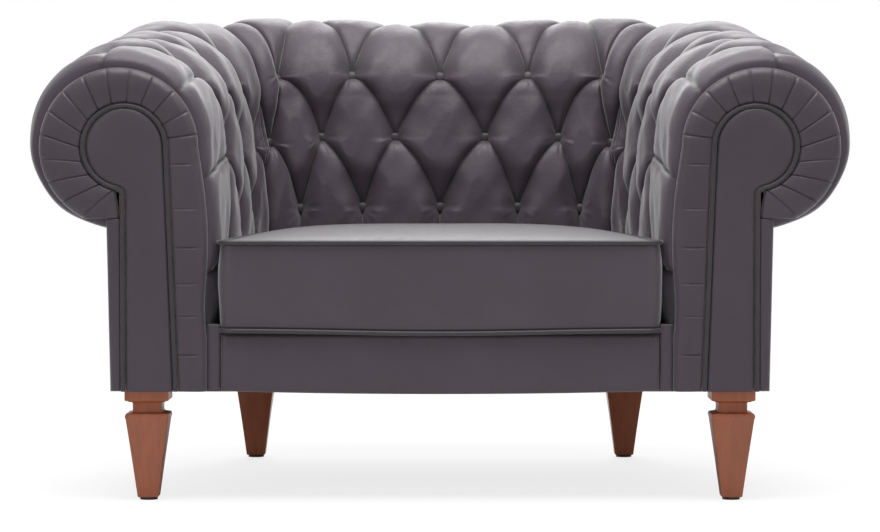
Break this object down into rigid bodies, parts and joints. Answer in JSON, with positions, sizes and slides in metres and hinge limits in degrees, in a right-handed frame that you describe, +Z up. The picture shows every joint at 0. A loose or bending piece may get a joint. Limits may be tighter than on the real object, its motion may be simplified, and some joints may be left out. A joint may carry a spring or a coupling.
{
  "type": "chesterfield armchair",
  "caption": "Deep-buttoned leather armchair with scrolled arms, pleated arm facings, a loose box seat cushion and square tapered wooden legs.",
  "frame": {"origin": "on the floor under the middle of the chair", "axes": "+X towards the chair's left arm as its sitter faces -Y, -Y is the front, +Z up"},
  "size_m": [1.1962, 0.8499, 0.741],
  "materials": {
    "leather": "smooth dark aubergine leather, soft sheen",
    "leather_buttons": "leather-covered buttons",
    "leather_facing": "smooth leather, pleated band and plain panel",
    "leather_piping": "leather-covered cord",
    "leather_outside": "flat leather over board",
    "foam": "upholstery foam",
    "lining_board": "flexible lining board",
    "frame_wood": "sawn hardwood",
    "leg_wood": "stained hardwood, satin varnish",
    "spring_steel": "plain steel",
    "deck_cloth": "black cloth",
    "glide_plastic": "moulded plastic",
    "zip_metal": "antique brass"
  },
  "bodies": {
    "chair": {"arm_board_left": "lining_board", "arm_board_right": "lining_board", "arm_buttons_left": "leather_buttons", "arm_buttons_right": "leather_buttons", "arm_cover_left": "leather", "arm_cover_right": "leather", "arm_flaps": "leather", "arm_foam_left": "foam", "arm_foam_right": "foam", "arm_post_left": "frame_wood", "arm_post_right": "frame_wood", "arm_tack_rails": "frame_wood", "arm_top_rail_left": "frame_wood", "arm_top_rail_right": "frame_wood", "back_board": "lining_board", "back_buttons": "leather_buttons", "back_cover": "leather", "back_foam": "foam", "back_posts": "frame_wood", "back_rail": "frame_wood", "back_tack_rail": "frame_wood", "back_top_rail": "frame_wood", "border_cover": "leather", "border_foam": "foam", "corner_rails": "frame_wood", "dust_cover": "deck_cloth", "facing_band_left": "leather_facing", "facing_band_right": "leather_facing", "facing_panel_left": "leather_facing", "facing_panel_right": "leather_facing", "facing_piping_left": "leather_piping", "facing_piping_right": "leather_piping", "foot_glides": "glide_plastic", "front_blocks": "frame_wood", "front_leg_left": "leg_wood", "front_leg_right": "leg_wood", "front_rail": "frame_wood", "front_strips": "leather_outside", "leg_bolts": "spring_steel", "outside_arm_left": "leather_outside", "outside_arm_right": "leather_outside", "outside_back": "leather_outside", "rear_blocks": "frame_wood", "rear_leg_left": "leg_wood", "rear_leg_right": "leg_wood", "scroll_board_left": "frame_wood", "scroll_board_right": "frame_wood", "seat_deck": "deck_cloth", "seat_springs": "spring_steel", "side_rail_left": "frame_wood", "side_rail_right": "frame_wood", "spring_clips": "spring_steel"},
    "seat_cushion": {"seat_cover": "leather", "seat_foam": "foam", "seat_piping_top": "leather_piping", "seat_piping_bottom": "leather_piping", "zip_tape": "deck_cloth"},
    "zip_pull": {"zip_slider": "zip_metal"}
  },
  "joints": [
    {"name": "cushion_lift", "type": "slide", "parent": "chair", "child": "seat_cushion", "axis": [0, 0, 1], "range_m": [0, 0.5]},
    {"name": "zip_slide", "type": "slide", "parent": "seat_cushion", "child": "zip_pull", "axis": [1, 0, 0], "range_m": [0, 0.38]}
  ]
}
